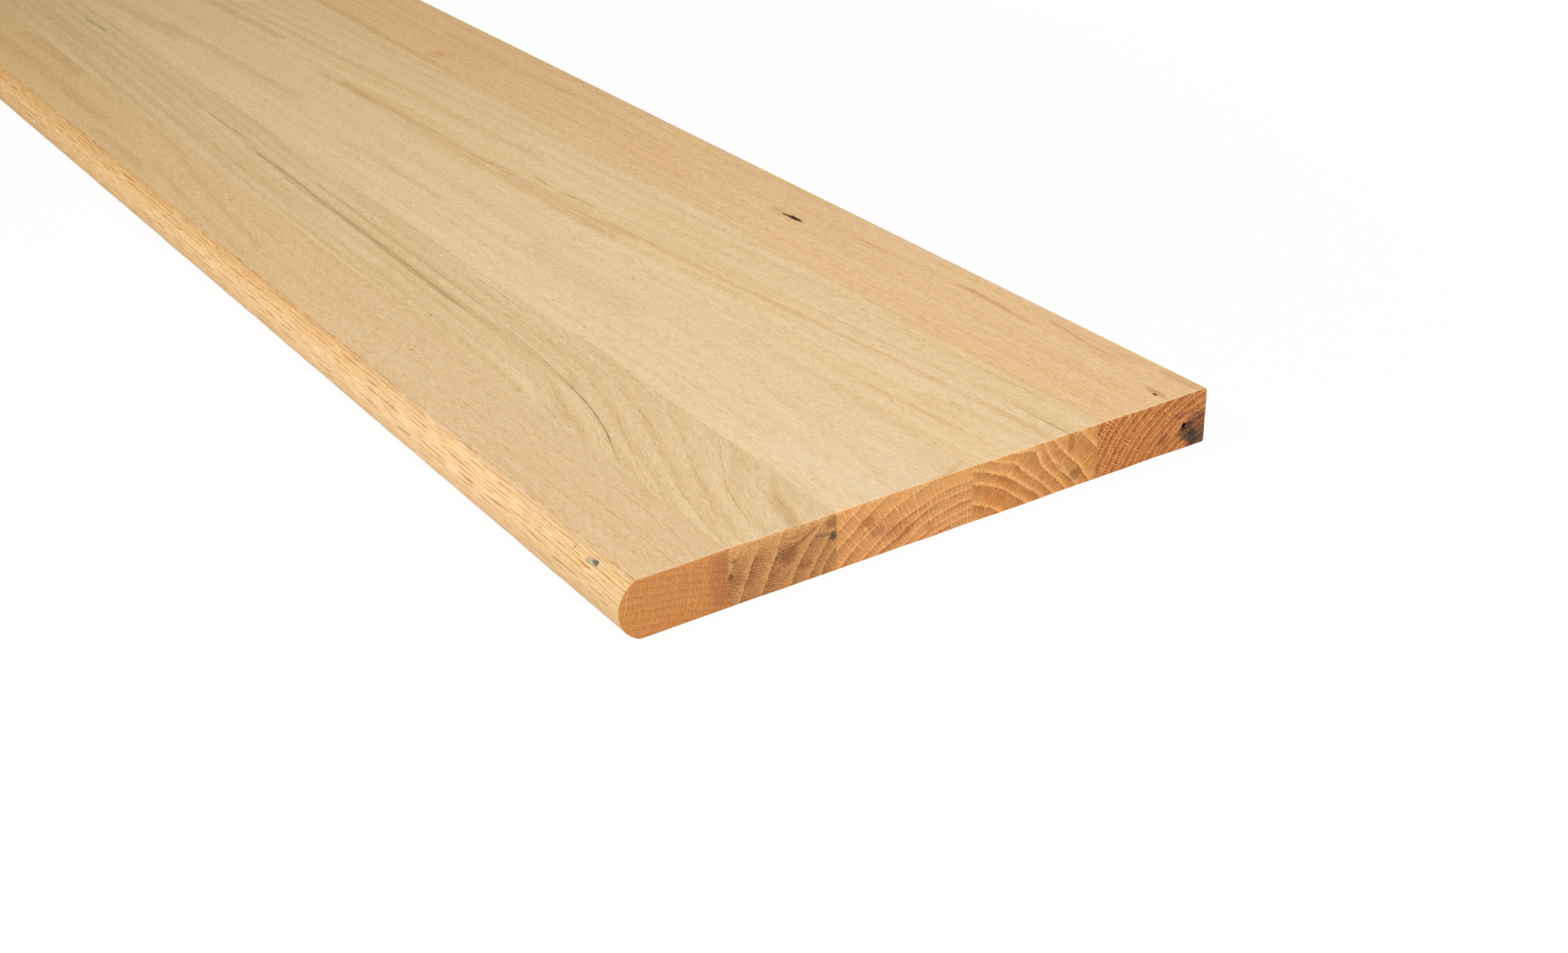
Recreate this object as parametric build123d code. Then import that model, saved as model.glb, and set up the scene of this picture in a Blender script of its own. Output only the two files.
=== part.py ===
from build123d import *
import os

# Edge-glued white oak stair tread with a rounded nose. Millimetres.
# Origin: middle of the underside. +X runs along the tread, the nose faces -Y, +Z is up.

# Sold size
tread_length = 1219.2
thickness = 25.4

# Widths of the five full-length staves, from the nose to the back
nose_stave_width = 48.0
second_stave_width = 49.5
third_stave_width = 67.0
fourth_stave_width = 66.0
back_stave_width = 61.6

# The moulded nose: two arcs that share an upright tangent at the foremost line
nose_top_setback = 7.9
nose_bottom_setback = 8.9
nose_line_lift = 0.2

# Sanded arrises
back_arris_radius = 0.9
end_arris_radius = 0.6

stave_widths = {
    "nose_stave": nose_stave_width,
    "second_stave": second_stave_width,
    "third_stave": third_stave_width,
    "fourth_stave": fourth_stave_width,
    "back_stave": back_stave_width,
}
depth = sum(stave_widths.values())
front = -depth / 2
back = depth / 2


def cross_section():
    """The moulded section across the grain, drawn with u to the back and v up."""
    nose_line = (front, thickness / 2 + nose_line_lift)
    top_break = (front + nose_top_setback, thickness)
    bottom_break = (front + nose_bottom_setback, 0)
    with BuildSketch(Plane.YZ) as section:
        with BuildLine():
            TangentArc(nose_line, top_break, tangent=(0, 1))
            Polyline(top_break, (back, thickness), (back, 0), bottom_break)
            TangentArc(nose_line, bottom_break, tangent=(0, -1))
        make_face()
        fillet(section.vertices().group_by(Axis.X)[-1], back_arris_radius)
    return section.sketch


def glued_panel():
    """The whole glued-up board, moulded along its length, then cut to length and sanded."""
    board = extrude(cross_section(), amount=tread_length / 2, both=True)
    for end in (Axis.X, -Axis.X):
        board = fillet(board.faces().sort_by(end)[-1].edges(), end_arris_radius)
    return board


def stave(panel, from_y, width):
    """The share of the panel between two straight glue joints."""
    overshoot = thickness
    slot = Box(tread_length + overshoot, width, thickness + overshoot)
    return panel & Pos(0, from_y + width / 2, thickness / 2) * slot


def main():
    os.makedirs("parts", exist_ok=True)
    panel = glued_panel()
    joint_y = front
    for name, width in stave_widths.items():
        piece = stave(panel, joint_y, width)
        export_step(piece, f"parts/{name}.step")
        joint_y += width


main()
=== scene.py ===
import math
from itertools import product

import bpy
import numpy as np
from mathutils import Euler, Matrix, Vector

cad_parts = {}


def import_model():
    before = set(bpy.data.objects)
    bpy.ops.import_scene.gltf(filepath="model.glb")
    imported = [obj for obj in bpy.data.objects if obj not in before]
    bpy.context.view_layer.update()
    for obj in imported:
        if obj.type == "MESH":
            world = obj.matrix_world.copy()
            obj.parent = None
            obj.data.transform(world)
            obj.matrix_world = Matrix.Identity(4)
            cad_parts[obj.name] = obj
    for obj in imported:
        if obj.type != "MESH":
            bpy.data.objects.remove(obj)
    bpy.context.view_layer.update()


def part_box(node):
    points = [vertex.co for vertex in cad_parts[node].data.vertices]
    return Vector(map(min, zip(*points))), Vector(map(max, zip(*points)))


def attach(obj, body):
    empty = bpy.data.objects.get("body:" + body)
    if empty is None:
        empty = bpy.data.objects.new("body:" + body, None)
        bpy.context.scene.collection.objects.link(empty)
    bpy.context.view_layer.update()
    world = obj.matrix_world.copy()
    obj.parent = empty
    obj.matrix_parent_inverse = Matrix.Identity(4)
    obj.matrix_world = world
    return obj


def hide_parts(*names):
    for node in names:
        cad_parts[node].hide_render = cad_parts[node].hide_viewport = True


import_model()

# An edge-glued oak stair tread, bare and freshly sanded, lying on a white floor.
# Places are in board millimetres: x is 0 at the near sawn end and negative along the board,
# y is 0 at the front of the nose and grows to the back, z is 0 at the underside.
MM = 0.001
NOSE_LOW, NOSE_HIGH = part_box("nose_stave")
NEAR_X = NOSE_HIGH[0]
NOSE_Y = NOSE_LOW[1]
LENGTH = (NEAR_X - NOSE_LOW[0]) / MM
THICK = NOSE_HIGH[2] / MM
STAVES = ["nose_stave", "second_stave", "third_stave", "fourth_stave", "back_stave"]

# Settings that many nodes share: an eased step, one colour laid over another, and a tint
SMOOTH = {"interpolation_type": "SMOOTHSTEP"}
PAINT = {"data_type": "RGBA"}
TINT = {"data_type": "RGBA", "blend_type": "MULTIPLY"}

# The moulded section and its sanded arrises
TOP_SETBACK = 7.9
BOTTOM_SETBACK = 8.9
NOSE_LINE = THICK / 2 + 0.2
BACK_ARRIS = 0.9
END_ARRIS = (0.4, 2.2)

# The photograph's camera, fitted to the edges of the board: its place in metres from the near front
# corner, how it is turned in degrees, and its focal length
EYE_PLACE = (0.60075, -0.32427, 0.42326)
EYE_TURN = (62.5196, 0.7610, 56.0994)
FOCAL_LENGTH = 49.78

# How each stave grew and was sawn from its log.
# pith: the log's centre line, as x, y, z along the board, so that every ring follows the grain.
# years: the radius of each ring, since ring widths vary.
# fibre: the line that the fine pores follow on the top, as x, y.
# wave: how far, in mm, the rings stray from true circles. bulges: where they swell out, and by how much.
GROWTH = {
    "nose_stave": {
        "pith": [(-1219, -36, -282), (-800, -30, -282), (-600, -31, -282), (-500, -39, -282),
                 (-420, -46, -282), (-350, -48, -282), (-300, -47, -282), (-200, -38, -282),
                 (-150, -35, -282), (-100, -34, -282), (0, -34, -282)],
        "years": [280 + 3.3 * k for k in range(10)] + [312.2, 313.5, 315.5, 318.2, 322],
        "fibre": [(-1219, 6), (-600, 4), (-400, -4), (-300, -6), (-200, -1), (-100, 0), (0, 0)],
        "wave": 1.0, "bulges": [],
    },
    "second_stave": {
        "pith": [(-1219, 183, -50), (-850, 178, -50), (-620, 171, -50), (-480, 164, -50),
                 (-300, 162, -50), (-220, 159, -50), (-150, 139.5, -60), (-120, 133, -60),
                 (-87, 127, -57), (-45, 131, -42), (0, 135, -25)],
        "years": [30, 38, 46, 52, 57, 65, 76.4, 86, 94.3, 100.3, 106.5, 111.5, 118, 124,
                  131, 136, 144, 152, 162],
        "fibre": [(-1219, 22), (-850, 18), (-620, 11), (-480, 3), (-300, 0), (-220, -1), (-150, -8),
                  (-100, -20), (-50, -34), (0, -46)],
        "wave": 1.2, "bulges": [((0, 73, 24), (150, 9, 9), 2.0)],
    },
    "third_stave": {
        "pith": [(-1219, 174, -65), (-600, 180, -65), (-200, 178, -65), (-77, 175, -65),
                 (-17, 168, -65), (0, 164, -65)],
        "years": [60, 64.5, 68.5, 71.7, 76, 80.7, 84.7, 91.7, 98.8, 105.2, 110.5, 116, 122, 129, 137],
        "fibre": [(-1219, -50), (-600, -36), (-300, -22), (0, 0)],
        "wave": 1.2, "bulges": [((0, 130, 2), (150, 13, 9), -2.2)],
    },
    "fourth_stave": {
        "pith": [(-1219, 60, -58), (-850, 80, -58), (-600, 96, -58), (-450, 105, -58),
                 (-300, 111, -58), (-183, 122, -58), (-100, 130, -58), (-50, 134, -58), (0, 138, -58)],
        "years": [54, 63.5, 71.3, 80.1, 85.3, 90.2, 95.5, 100, 106.2, 117.3, 126, 133, 141, 150,
                  158, 166, 175],
        "fibre": [(-1219, -60), (-850, -46), (-600, -34), (-300, -20), (-150, -10), (0, 0)],
        "wave": 1.4, "bulges": [((0, 198, 26), (200, 14, 15), 4.5), ((0, 185, 20), (200, 7, 7), 1.4)],
    },
    "back_stave": {
        "pith": [(-1219, 300, -30), (-600, 294, -30), (-300, 296, -30), (0, 300, -30)],
        "years": [24 + 3.0 * k + 0.6 * math.sin(2.1 * k) for k in range(25)],
        "fibre": [(-1219, -6), (-600, -3), (-300, -4), (-150, 0), (0, 2)],
        "wave": 1.2, "bulges": [],
    },
}

# Colours of each stave. On the long faces: ground, darker summer wood, pore.
# On the sawn end: ground, the dark of summer wood, pale spring wood, pores and bright rays.
LOOKS = {
    "nose_stave": ("#DFBF95", "#DAB88A", "#C89A5C", "#CD8B4D", "#A4612D", "#E6A866", "#94521F", "#ECAE6A"),
    "second_stave": ("#E6C89D", "#D7B584", "#C39A5E", "#BF8752", "#82502F", "#E5AD6D", "#784A2A", "#E8B274"),
    "third_stave": ("#EFD0A5", "#E7C697", "#C9A06C", "#D99C5E", "#A26339", "#F8BB74", "#96582E", "#FCC484"),
    "fourth_stave": ("#F2D3A7", "#E7C592", "#CB9A5C", "#CD8A49", "#94521E", "#FFC27A", "#8A5028", "#FFCE92"),
    "back_stave": ("#F2CC9A", "#E8BC89", "#C5955C", "#C37841", "#8D4721", "#E89E5D", "#6E3418", "#FCB877"),
}

# Colours on the long faces of every stave, and the painted shade that deepens them towards the far end,
# where the light falls off
PALE_FIBRE = "#FCE8C8"
ROW_PORE = "#C68C46"
FAR_SHADE = "#FAF7EB"

# The nose has its own ground, open pores and flecks, tints at its upper arris and near end, and painted
# shade at its far end
NOSE = {"ground": "#EFCA97", "pore": "#B8722F", "pale": "#FCE0B4", "warm": "#E2AE6C",
        "arris_tint": "#F5EBDF", "near_tint": "#F7F6F0", "painted_far_shade": "#FFF9E3"}

# How each sawn end looks. Lengths are mm and the rest are strengths, 0 to 1.
# fine: pitch, length and strength of the finest ray strokes. broad: pitch and strength of the bright rays.
# spring, fade: the pale spring band, and the share of the year over which it fades.
# line: the thin dark line that ends a year. late: how dark summer wood gets. glow: how pale the top edge is.
# pore: pore width and reach along a ray. crowded, scattered: how rare pores are in the band and beyond it.
SAWN_PARTS = ("fine", "broad", "spring", "fade", "line", "late", "glow", "pore", "crowded", "scattered")
SAWN = {
    "nose_stave": ((0.72, 0.8, 0.75), (1.15, 0.7), 0.2, 0.45, 0.75, 0.45, 0.15, (0.4, 0.45), 0.56, 0.58),
    "second_stave": ((0.6, 2.4, 0.75), (1.6, 0.25), 0.75, 0.5, 0.8, 0.85, 0.95, (0.28, 0.6), 0.72, 0.68),
    "third_stave": ((0.6, 2.4, 0.78), (2.4, 0.95), 0.95, 0.34, 0.95, 0.85, 0.5, (0.28, 0.4), 0.62, 0.7),
    "fourth_stave": ((0.6, 2.4, 0.74), (1.5, 0.9), 1.0, 0.42, 1.0, 0.85, 0.25, (0.28, 0.4), 0.6, 0.7),
    "back_stave": ((0.6, 0.9, 0.55), (1.0, 0.95), 0.95, 0.36, 0.4, 0.6, 0.0, (0.32, 0.6), 0.68, 0.54),
}

# Marks on the top face: half width in mm, strength, colour and the line that the mark follows
STREAKS = {
    "nose_stave": [
        (4.0, 0.30, "#B98C58", [(-640, 15), (-590, 15.5), (-545, 14)]),
        (2.5, 0.30, "#C39662", [(-640, 44), (-580, 42), (-520, 33), (-450, 27), (-390, 21)]),
        (2.0, 0.30, "#C79B67", [(-560, 22), (-500, 18), (-440, 14), (-380, 12)]),
        (7.0, 0.35, "#B58A58", [(-870, 38), (-800, 45), (-740, 42)]),
        (5.0, 0.35, "#B88E5C", [(-1219, 24), (-900, 27), (-760, 26), (-640, 25)]),
        (2.0, 0.25, "#C89D69", [(-150, 12), (-100, 11.5), (-50, 13)]),
        (5.0, 0.15, "#C79460", [(-66, 36), (-56, 44), (-48, 38)]),
    ],
    "second_stave": [
        (0.9, 0.52, "#8E7242", [(-545, 76.3), (-500, 76), (-430, 74.2), (-380, 73.6), (-300, 71.6),
                                (-258, 70.3)]),
        (0.6, 0.45, "#86683A", [(-500, 72.8), (-400, 72.6), (-350, 71.4), (-300, 70), (-270, 69.6)]),
        (3.0, 0.28, "#B9945A", [(-560, 76), (-480, 75), (-400, 73.5), (-300, 72), (-200, 72), (-150, 68)]),
        (0.8, 0.45, "#96733F", [(-655, 80), (-600, 80.4), (-560, 80)]),
        (1.3, 0.50, "#7F6A35", [(-880, 86.5), (-850, 87.5), (-828, 88)]),
        (0.8, 0.35, "#A87F4A", [(-475, 83), (-430, 83), (-380, 81), (-290, 80), (-240, 77)]),
        (0.50, 0.35, "#A5793F", [(-250, 76.5), (-200, 74), (-165, 70), (-145, 67.6), (-125, 63.5),
                                (-108, 58.5), (-95, 53.5), (-80, 49), (-72, 47.8)]),
        (0.42, 0.80, "#85562A", [(-172, 71), (-145, 67.6), (-125, 63.5), (-108, 58.5), (-98, 54.5)]),
        (4.0, 0.30, "#B08A58", [(-155, 52), (-138, 52), (-122, 54)]),
        (3.4, 0.55, "#BE9560", [(-34, 87), (-18, 83), (0, 78.5)]),
        (1.6, 0.35, "#B8935F", [(-56, 97.4), (-50, 94), (-46, 91)]),
        (3.0, 0.22, "#BE9A63", [(-900, 68), (-750, 66), (-600, 60), (-420, 66)]),
        (1.0, 0.25, "#B48C55", [(-305, 59.6), (-250, 59), (-195, 58.2)]),
    ],
    "third_stave": [
        (6.0, 0.22, "#C09A63", [(-330, 137), (-260, 133), (-205, 134)]),
        (7.0, 0.30, "#B98A52", [(-1219, 112), (-950, 116), (-850, 120), (-780, 124)]),
        (4.0, 0.30, "#B9925C", [(-830, 128), (-750, 131), (-680, 134), (-610, 137)]),
        (1.2, 0.40, "#BF925A", [(-215, 98.3), (-170, 98.6), (-150, 98.2)]),
        (2.5, 0.25, "#BF9862", [(-560, 123), (-500, 125), (-400, 128)]),
        (5.0, 0.35, "#D79A5A", [(-9, 164), (-3, 156), (0, 146)]),
        (10.0, 0.35, "#E9D6B8", [(-75, 112), (-35, 116), (0, 122)]),
        (6.0, 0.25, "#EAD8BC", [(-40, 140), (-15, 138), (0, 136)]),
    ],
    "fourth_stave": [
        (2.2, 0.38, "#CC9C64", [(-330, 182), (-250, 187), (-183, 193), (-130, 198), (-100, 200.5),
                                (-50, 204.5), (0, 207.3)]),
        (0.8, 0.25, "#B08C5C", [(-185, 203.5), (-150, 205.8), (-110, 208.5), (-90, 209.5), (-65, 213.6)]),
        (0.9, 0.45, "#94805C", [(-40, 213.8), (-20, 214.2), (0, 215.2)]),
        (1.6, 0.25, "#C0935A", [(-95, 173), (-70, 178), (-50, 179.5), (-25, 181)]),
        (6.0, 0.28, "#BE8F58", [(-640, 167), (-500, 170.5), (-400, 173), (-300, 176)]),
        (3.0, 0.28, "#C0925A", [(-640, 170), (-550, 171.5), (-440, 176), (-330, 180), (-290, 181)]),
        (3.0, 0.22, "#BF955C", [(-900, 180), (-760, 187), (-700, 188), (-640, 193), (-560, 196.5),
                                (-480, 200), (-430, 202)]),
        (0.9, 0.55, "#8C7A42", [(-412, 184.3), (-400, 184.2), (-390, 183)]),
        (0.9, 0.55, "#8C7A42", [(-384, 182.5), (-372, 185), (-360, 187.2), (-342, 187)]),
        (4.0, 0.28, "#B88A50", [(-900, 169), (-830, 174), (-770, 177), (-740, 176)]),
        (3.0, 0.25, "#BC8D54", [(-670, 165), (-640, 167), (-590, 170)]),
        (4.0, 0.22, "#F0D8AE", [(-620, 200.7), (-500, 206), (-417, 211.5), (-330, 214)]),
    ],
    "back_stave": [
        (1.4, 0.45, "#B07A44", [(-158, 276), (-130, 277.3), (-115, 275.5), (-92, 274.6)]),
        (1.0, 0.40, "#B27C46", [(-102, 284), (-85, 283.4), (-60, 281), (-38, 281.4)]),
        (1.2, 0.40, "#B07A44", [(-232, 273), (-217, 273.6), (-205, 273.6)]),
        (3.0, 0.35, "#B58350", [(-300, 262), (-290, 263), (-260, 262)]),
        (1.4, 0.45, "#A8743E", [(-20, 272.5), (-10, 271.6), (-1, 271.2)]),
        (4.0, 0.30, "#B3804A", [(-30, 288), (-12, 289), (0, 289)]),
        (8.0, 0.35, "#C58A48", [(-662, 241), (-652, 243), (-642, 244)]),
        (3.0, 0.25, "#BD8C54", [(-850, 236), (-700, 233), (-600, 232)]),
        (3.0, 0.25, "#BE8D55", [(-700, 270), (-600, 268), (-520, 276)]),
    ],
}

# Rows of large spring pores that show on the top: half width, strength and line
PORE_ROWS = {
    "nose_stave": [
        (0.55, 0.75, [(-150, 32.5), (-125, 34.8), (-108, 34.7), (-85, 36), (-62, 38.3),
                      (-43, 38.6), (-15, 37.6)]),
        (0.50, 0.80, [(-205, 21), (-139, 26), (-100, 27), (-42, 26.6), (0, 26)]),
        (0.55, 0.65, [(-180, 16), (-130, 18.5), (-109, 19.4), (-67, 19), (-40, 18.8), (0, 17.6)]),
        (0.60, 0.60, [(-300, 24.5), (-277, 26.5), (-250, 28.5), (-217, 33), (-195, 35.5), (-160, 38.5)]),
        (0.55, 0.55, [(-310, 29.5), (-278, 32.5), (-250, 36.8), (-230, 39.5), (-205, 44)]),
        (0.55, 0.60, [(-225, 23.5), (-190, 26.8), (-150, 31.8)]),
        (0.55, 0.60, [(-285, 12), (-235, 14), (-210, 16.2), (-180, 20.5), (-150, 24)]),
        (0.60, 0.85, [(-400, 7.6), (-300, 7.3), (-230, 7.9), (-180, 8.4), (-120, 8.2), (-90, 8.8),
                      (-40, 8.2), (0, 8)]),
        (0.60, 0.60, [(-430, 11), (-350, 11.6), (-300, 14), (-260, 10.5)]),
        (0.60, 0.60, [(-410, 22), (-380, 20), (-330, 23), (-300, 24.5)]),
    ],
    "second_stave": [
        (0.50, 0.90, [(-205, 98), (-150, 96.4), (-130, 93), (-106, 88.5), (-90, 83), (-80, 78.5), (-70, 75),
                      (-60, 71), (-40, 64.5), (-22, 57.5), (-5, 55)]),
        (0.50, 0.90, [(-90, 98), (-80, 94.5), (-65, 86), (-50, 78.5), (-44, 75), (-30, 70.5),
                      (-15, 66.5), (-3, 63.8)]),
        (0.50, 0.85, [(-300, 93), (-220, 92.4), (-165, 88.5), (-137, 84), (-108, 78.5), (-95, 74), (-77, 66),
                      (-58, 60), (-35, 54.5), (-3, 48.4)]),
        (0.50, 0.80, [(-265, 82.6), (-240, 83.5), (-200, 82.5), (-150, 76.8), (-125, 72), (-115, 68.5),
                      (-100, 63), (-78, 55), (-55, 49.5), (-45, 47.8)]),
        (0.45, 0.55, [(-56, 98), (-50, 92), (-38, 87), (-30, 83), (-20, 79), (0, 72)]),
        (0.45, 0.55, [(-16, 98), (-8, 95.5), (0, 92)]),
        (0.60, 0.55, [(-136, 56), (-122, 53.5), (-110, 51), (-95, 48)]),
        (0.55, 0.60, [(-230, 55), (-210, 54), (-185, 51.5), (-160, 49), (-150, 47.6)]),
        (0.60, 0.45, [(-520, 53), (-440, 52.5), (-390, 51.8), (-350, 50.5)]),
    ],
    "third_stave": [
        (0.60, 0.35, [(-75, 132), (-40, 121), (-20, 114), (0, 106)]),
        (0.60, 0.35, [(-60, 118), (-30, 109), (-8, 101)]),
        (0.60, 0.30, [(-200, 126), (-170, 128), (-140, 130)]),
    ],
    "fourth_stave": [
        (0.70, 0.70, [(-170, 221.5), (-140, 223), (-100, 225.4), (-60, 226.6), (-20, 227.6)]),
        (0.60, 0.40, [(-150, 212), (-100, 214.5), (-60, 217), (-20, 218.5)]),
        (0.60, 0.35, [(-150, 185), (-110, 189), (-60, 192), (-20, 193)]),
        (0.60, 0.35, [(-320, 205), (-250, 208), (-190, 213)]),
    ],
    "back_stave": [
        (0.60, 0.50, [(-140, 237), (-100, 234), (-60, 233), (-10, 231.5)]),
        (0.60, 0.50, [(-60, 241.5), (-30, 241), (-5, 240.6)]),
        (0.60, 0.45, [(-150, 249.5), (-120, 247), (-95, 244), (-60, 244)]),
        (0.60, 0.45, [(-80, 258), (-62, 258.3), (-40, 257.5)]),
    ],
}

# Knots and blemishes, wherever they break a face: centre, half sizes, strength and colour
SPOTS = {
    "nose_stave": [
        ((-25.5, 4.2, 22.8), (5.4, 2.0, 1.6), 0.55, "#A79C7E"),
        ((-24, 4.4, 23.0), (2.7, 1.4, 1.0), 0.85, "#58605C"),
        ((-23.2, 4.9, 23.6), (1.2, 0.8, 0.7), 0.8, "#3A3E3C"),
        ((-28.5, 3.6, 22.2), (2.0, 1.1, 0.8), 0.40, "#8C8B7C"),
        ((-39.3, 4.4, 22.8), (0.5, 1.6, 1.2), 0.75, "#7A5A38"),
        ((-472, 35.4, 25.4), (2.2, 0.5, 1.0), 0.7, "#6E5A34"),
        ((-478, 35.5, 25.4), (4.5, 0.4, 1.0), 0.6, "#FBE3B4"),
        ((-393, 33.2, 25.4), (3.5, 0.4, 1.0), 0.6, "#FBE3B4"),
    ],
    "second_stave": [
        ((-268, 54.8, 25.4), (1.4, 0.8, 1.0), 0.50, "#8C6236"),
    ],
    "third_stave": [
        ((-251, 110, 25.4), (1.2, 0.7, 1.0), 0.50, "#8C6236"),
        ((-252, 154.5, 25.4), (1.1, 0.9, 1.0), 0.45, "#97703F"),
    ],
    "fourth_stave": [],
    "back_stave": [
        ((-274, 263.6, 25.4), (8.5, 1.9, 2.0), 1.0, "#4A3018"),
        ((-281, 262.6, 25.4), (3.4, 1.2, 1.5), 0.8, "#8A3E20"),
        ((-273, 263.4, 25.4), (4.2, 0.8, 1.2), 1.0, "#120C08"),
        ((-8.5, 269.6, 25.4), (1.7, 1.0, 1.5), 1.0, "#1E120C"),
        ((-9.5, 270.6, 25.4), (7.0, 2.6, 2.0), 0.3, "#A26C3C"),
        ((0, 279.0, 13.6), (6.0, 1.9, 1.2), 0.60, "#E08A44"),
        ((0, 279.8, 10.6), (8.0, 1.6, 2.1), 1.0, "#060404"),
    ],
}

# Stains on the sawn end: y and z of the centre, half sizes, strength, and the tint that they multiply by
STAINS = {
    "nose_stave": [
        ((45.0, 13.0), (9, 22), 0.9, "#E2DEEC"),
    ],
    "second_stave": [
        ((48.6, 13.0), (2.2, 2.6), 1.0, "#B4B0C8"),
        ((50.8, 19.0), (1.8, 1.4), 0.9, "#B8B0C0"),
        ((51.5, 10.5), (4.5, 4.5), 0.9, "#E4DCE4"),
        ((75.0, 14.0), (7.0, 6.0), 1.0, "#D9D2DC"),
        ((96.2, 15.9), (3.4, 2.6), 1.0, "#9AA8CC"),
        ((83.0, 7.5), (5.0, 3.6), 0.8, "#E0D6E4"),
        ((96.0, 22.0), (6.0, 4.0), 0.9, "#D0C0C0"),
    ],
    "third_stave": [
        ((112.5, 16.5), (6.0, 3.6), 1.0, "#E4D6D2"),
        ((117.0, 11.5), (6.0, 4.0), 1.0, "#E8E0F0"),
        ((127.0, 8.5), (12.0, 6.0), 1.0, "#ECDEE8"),
        ((143.0, 5.0), (4.0, 3.0), 0.8, "#ECD8D8"),
    ],
    "fourth_stave": [
        ((216.3, 21.0), (2.6, 7.0), 0.9, "#DCCCC8"),
        ((210.4, 12.2), (2.0, 2.0), 0.6, "#C4CCC0"),
        ((218.5, 5.5), (5.0, 4.4), 1.0, "#D0CCDA"),
        ((201.1, 9.0), (2.0, 2.0), 0.6, "#CCC0C8"),
        ((178.0, 8.0), (12.0, 8.0), 0.8, "#FCE8E0"),
    ],
    "back_stave": [
        ((281.5, 8.0), (7.5, 7.0), 1.0, "#98AAD4"),
        ((289.0, 3.6), (11.0, 9.0), 1.0, "#98AAD4"),
        ((284.5, 3.5), (6.0, 6.0), 0.8, "#BCC8E4"),
        ((288.0, 12.5), (10.0, 6.0), 1.0, "#BCB8D4"),
        ((277.0, 16.2), (5.0, 2.6), 0.9, "#D2C8DA"),
        ((268.5, 7.0), (5.5, 4.0), 0.7, "#CCC4D8"),
    ],
}

# Lines on the sawn end: half width, strength, colour, and the y and z that they follow
CRACKS = {
    "nose_stave": [],
    "second_stave": [
        (1.1, 0.80, "#855B3C", [(73.5, 13.8), (78, 17.2), (82, 18.8), (86, 21.2), (89, 22.4)]),
        (0.4, 0.65, "#96624A", [(73.0, 22.2), (77.2, 21), (80.4, 21.2), (85, 22.2)]),
        (0.9, 0.80, "#7A5E46", [(86.6, 19.3), (90, 17.8), (92.8, 17.4), (97.4, 17.8)]),
        (0.5, 0.50, "#A06648", [(91, 6.4), (94, 6.0), (97.4, 6.8)]),
    ],
    "third_stave": [
        (0.35, 0.75, "#8A543C", [(118.6, 0.6), (123, 2.4), (131, 6), (136, 9.6), (139, 11.5),
                                 (146, 13.8), (151, 15)]),
        (0.45, 0.60, "#965E4C", [(108, 9.0), (112, 12.4), (117, 14.8), (121, 16)]),
    ],
    "fourth_stave": [
        (0.60, 0.60, "#F8BE80", [(200.1, 25.0), (204, 19.8), (207.3, 14.6), (210.6, 10.4), (215.4, 6.2),
                                 (219.8, 0.6)]),
        (0.45, 0.60, "#85533A", [(213.2, 8.6), (215.0, 10.4), (216.4, 12.0)]),
    ],
    "back_stave": [],
}

# Where the grain swells round a knot: centre, half sizes and how far it is pushed, in mm
SWIRLS = {
    "nose_stave": [((-24, 4.4, 23.0), (16, 5, 5), 1.2)],
    "second_stave": [((0, 99, 16), (60, 12, 8), 2.0)],
    "third_stave": [],
    "fourth_stave": [],
    "back_stave": [((0, 279.9, 10.8), (30, 11, 9), 1.6), ((-274, 263.5, 25), (26, 8, 8), 2.2)],
}

# Hollows in the wood itself: centre, half sizes and depth along x, y, z
PITS = [
    ((-24, 4.4, 23.0), (2.6, 2.0, 1.6), (0.0, 0.25, -0.25)),
    ((-274, 263.5, 25.4), (7.5, 1.5, 3.0), (0.0, 0.0, -0.5)),
    ((-8.5, 269.6, 25.4), (1.6, 1.0, 2.0), (0.0, 0.0, -0.6)),
    ((0, 279.8, 10.6), (3.0, 1.0, 1.5), (-2.6, 0.0, 0.0)),
]


def srgb(code):
    """An sRGB hex colour as the linear colour that a shader wants."""
    parts = [int(code[i:i + 2], 16) / 255 for i in (1, 3, 5)]
    linear = [c / 12.92 if c <= 0.04045 else ((c + 0.055) / 1.055) ** 2.4 for c in parts]
    return (*linear, 1.0)


def add(tree, kind, *inputs, out=0, **settings):
    """Adds a node: settings are its own, and inputs fill its open sockets in order.
    What a maths node does is a word before its inputs."""
    if inputs and isinstance(inputs[0], str):
        settings["operation"], *inputs = inputs
    made = tree.nodes.new(kind if kind.startswith(("Geometry", "Node")) else "ShaderNode" + kind)
    for name, value in settings.items():
        setattr(made, name, value)
    for socket, value in zip([s for s in made.inputs if s.enabled], inputs):
        if isinstance(value, bpy.types.NodeSocket):
            tree.links.new(value, socket)
        elif value is not None:
            socket.default_value = value
    outputs = [s for s in made.outputs if s.enabled]
    return outputs[out] if outputs else made


def curve(tree, value, points, straight=False):
    """A value read off a drawn curve through the given points."""
    (x_low, x_high), (y_low, y_high) = [(min(c), max(c) + 1e-3) for c in zip(*points)]
    along = add(tree, "MapRange", value, x_low, x_high, 0.0, 1.0)
    drawn = add(tree, "FloatCurve", 1.0, along)
    mapping = drawn.node.mapping
    line = mapping.curves[0]
    while len(line.points) < len(points):
        line.points.new(0.5, 0.5)
    for point, (x, y) in zip(line.points, points):
        point.location = ((x - x_low) / (x_high - x_low), (y - y_low) / (y_high - y_low))
        point.handle_type = "VECTOR" if straight else "AUTO"
    mapping.update()
    return add(tree, "MapRange", drawn, 0.0, 1.0, y_low, y_high)


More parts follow.
